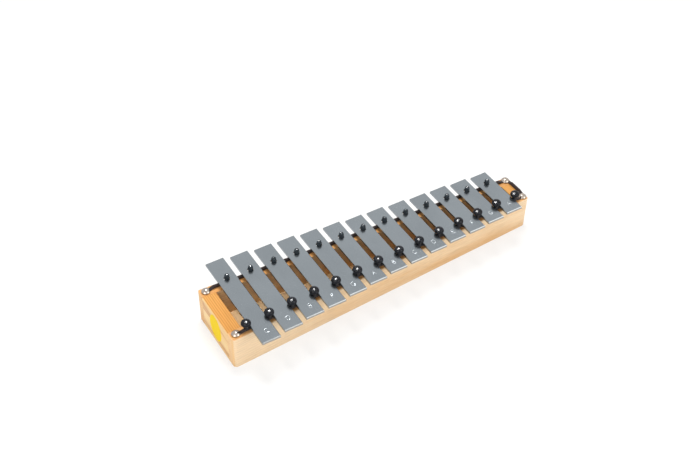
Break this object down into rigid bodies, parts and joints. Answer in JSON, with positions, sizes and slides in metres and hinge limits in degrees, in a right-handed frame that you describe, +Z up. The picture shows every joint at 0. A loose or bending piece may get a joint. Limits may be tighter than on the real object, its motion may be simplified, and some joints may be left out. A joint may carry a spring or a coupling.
{
  "type": "soprano glockenspiel",
  "caption": "Diatonic soprano glockenspiel: flat steel tone bars on a cord over a tapering wooden sound box, each held by a rear pin and front posts.",
  "frame": {"origin": "middle of the underside of the sound box", "axes": "+X from the lowest bar to the highest, -Y the player's side with the ball posts, +Z up"},
  "size_m": [0.3737, 0.1226, 0.0537],
  "materials": {
    "maple": "satin clear lacquer",
    "end_wood": "satin clear lacquer",
    "panel_wood": "bare plywood",
    "bar_steel": "satin nickel-plated",
    "nickel": "bright nickel",
    "pin_steel": "drawn wire",
    "rubber": "glossy moulded",
    "cord": "braided",
    "label": "bare printed sticker"
  },
  "bodies": {
    "sound_box": {"front_board": "maple", "back_board": "maple", "left_end_block": "end_wood", "right_end_block": "end_wood", "bottom_panel": "panel_wood", "panel_nails": "nickel", "support_cord": "cord", "dome_tacks": "nickel", "back_pins": "pin_steel", "back_pin_caps": "rubber", "front_pins": "pin_steel", "front_post_heads": "rubber", "oval_label": "label"},
    "bar_01_c": {"bar_01_c": "bar_steel"},
    "bar_02_d": {"bar_02_d": "bar_steel"},
    "bar_03_e": {"bar_03_e": "bar_steel"},
    "bar_04_f": {"bar_04_f": "bar_steel"},
    "bar_05_g": {"bar_05_g": "bar_steel"},
    "bar_06_a": {"bar_06_a": "bar_steel"},
    "bar_07_b": {"bar_07_b": "bar_steel"},
    "bar_08_c": {"bar_08_c": "bar_steel"},
    "bar_09_d": {"bar_09_d": "bar_steel"},
    "bar_10_e": {"bar_10_e": "bar_steel"},
    "bar_11_f": {"bar_11_f": "bar_steel"},
    "bar_12_g": {"bar_12_g": "bar_steel"},
    "bar_13_a": {"bar_13_a": "bar_steel"}
  },
  "joints": [
    {"name": "bar_01_c_tip_up", "type": "hinge", "parent": "sound_box", "child": "bar_01_c", "pos_m": [-0.156, -0.0327, 0.0417], "axis": [0.9987, 0.0506, 0], "range_deg": [0, 16]},
    {"name": "bar_02_d_tip_up", "type": "hinge", "parent": "sound_box", "child": "bar_02_d", "pos_m": [-0.13, -0.03138, 0.0417], "axis": [0.9987, 0.0506, 0], "range_deg": [0, 16]},
    {"name": "bar_03_e_tip_up", "type": "hinge", "parent": "sound_box", "child": "bar_03_e", "pos_m": [-0.104, -0.03007, 0.0417], "axis": [0.9987, 0.0506, 0], "range_deg": [0, 16]},
    {"name": "bar_04_f_tip_up", "type": "hinge", "parent": "sound_box", "child": "bar_04_f", "pos_m": [-0.078, -0.02875, 0.0417], "axis": [0.9987, 0.0506, 0], "range_deg": [0, 16]},
    {"name": "bar_05_g_tip_up", "type": "hinge", "parent": "sound_box", "child": "bar_05_g", "pos_m": [-0.052, -0.02743, 0.0417], "axis": [0.9987, 0.0506, 0], "range_deg": [0, 16]},
    {"name": "bar_06_a_tip_up", "type": "hinge", "parent": "sound_box", "child": "bar_06_a", "pos_m": [-0.026, -0.02612, 0.0417], "axis": [0.9987, 0.0506, 0], "range_deg": [0, 16]},
    {"name": "bar_07_b_tip_up", "type": "hinge", "parent": "sound_box", "child": "bar_07_b", "pos_m": [0, -0.0248, 0.0417], "axis": [0.9987, 0.0506, 0], "range_deg": [0, 16]},
    {"name": "bar_08_c_tip_up", "type": "hinge", "parent": "sound_box", "child": "bar_08_c", "pos_m": [0.026, -0.02348, 0.0417], "axis": [0.9987, 0.0506, 0], "range_deg": [0, 16]},
    {"name": "bar_09_d_tip_up", "type": "hinge", "parent": "sound_box", "child": "bar_09_d", "pos_m": [0.052, -0.02217, 0.0417], "axis": [0.9987, 0.0506, 0], "range_deg": [0, 16]},
    {"name": "bar_10_e_tip_up", "type": "hinge", "parent": "sound_box", "child": "bar_10_e", "pos_m": [0.078, -0.02085, 0.0417], "axis": [0.9987, 0.0506, 0], "range_deg": [0, 16]},
    {"name": "bar_11_f_tip_up", "type": "hinge", "parent": "sound_box", "child": "bar_11_f", "pos_m": [0.104, -0.01953, 0.0417], "axis": [0.9987, 0.0506, 0], "range_deg": [0, 16]},
    {"name": "bar_12_g_tip_up", "type": "hinge", "parent": "sound_box", "child": "bar_12_g", "pos_m": [0.13, -0.01822, 0.0417], "axis": [0.9987, 0.0506, 0], "range_deg": [0, 16]},
    {"name": "bar_13_a_tip_up", "type": "hinge", "parent": "sound_box", "child": "bar_13_a", "pos_m": [0.156, -0.0169, 0.0417], "axis": [0.9987, 0.0506, 0], "range_deg": [0, 16]}
  ]
}
